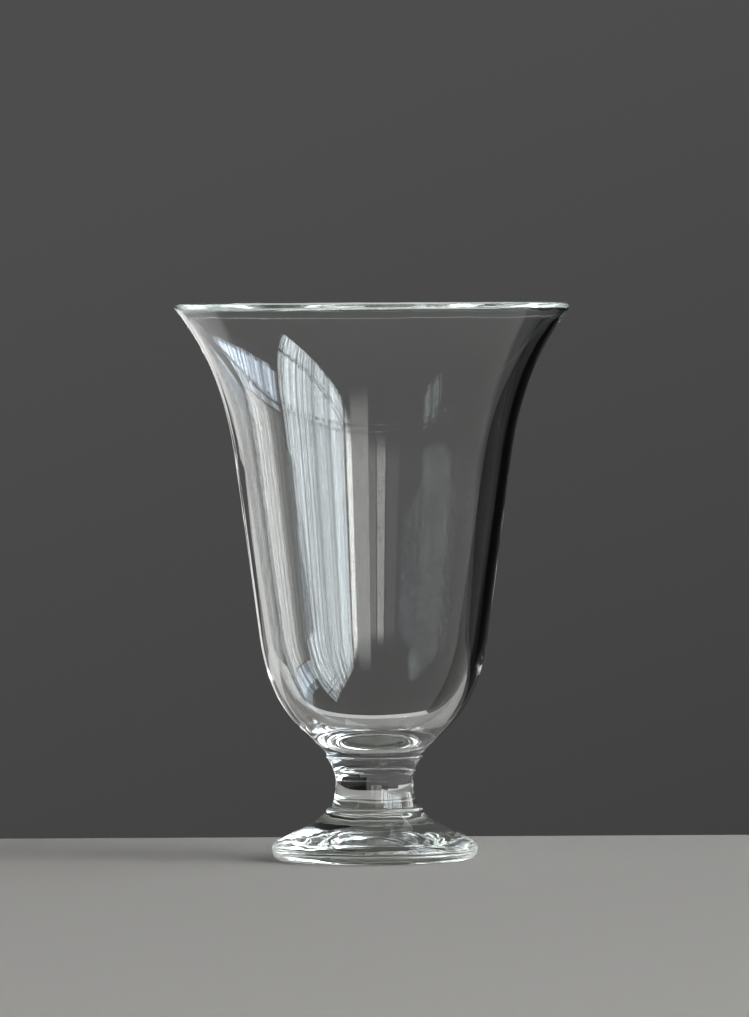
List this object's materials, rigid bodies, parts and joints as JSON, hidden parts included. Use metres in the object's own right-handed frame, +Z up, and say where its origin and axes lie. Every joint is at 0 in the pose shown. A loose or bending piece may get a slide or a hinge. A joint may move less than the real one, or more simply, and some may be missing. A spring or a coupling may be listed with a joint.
{
  "type": "footed tea glass",
  "caption": "Clear footed tea glass: a bell-shaped bowl with a flared rounded lip, on a short waisted stem and a thick disc foot, for serving tea and other drinks.",
  "frame": {"origin": "centre of the flat ring under the foot that the glass stands on", "axes": "+Z up along the axis of the bowl, stem and foot; every piece is turned about it, so X and Y are alike"},
  "size_m": [0.0886, 0.0886, 0.125],
  "materials": {
    "bowl_glass": "clear blown glass, fire polished",
    "stem_glass": "clear solid glass, fire polished",
    "foot_glass": "clear pressed glass, fire polished, faintly wavy"
  },
  "bodies": {
    "root": {"bowl": "bowl_glass", "stem": "stem_glass", "foot": "foot_glass"}
  },
  "joints": []
}
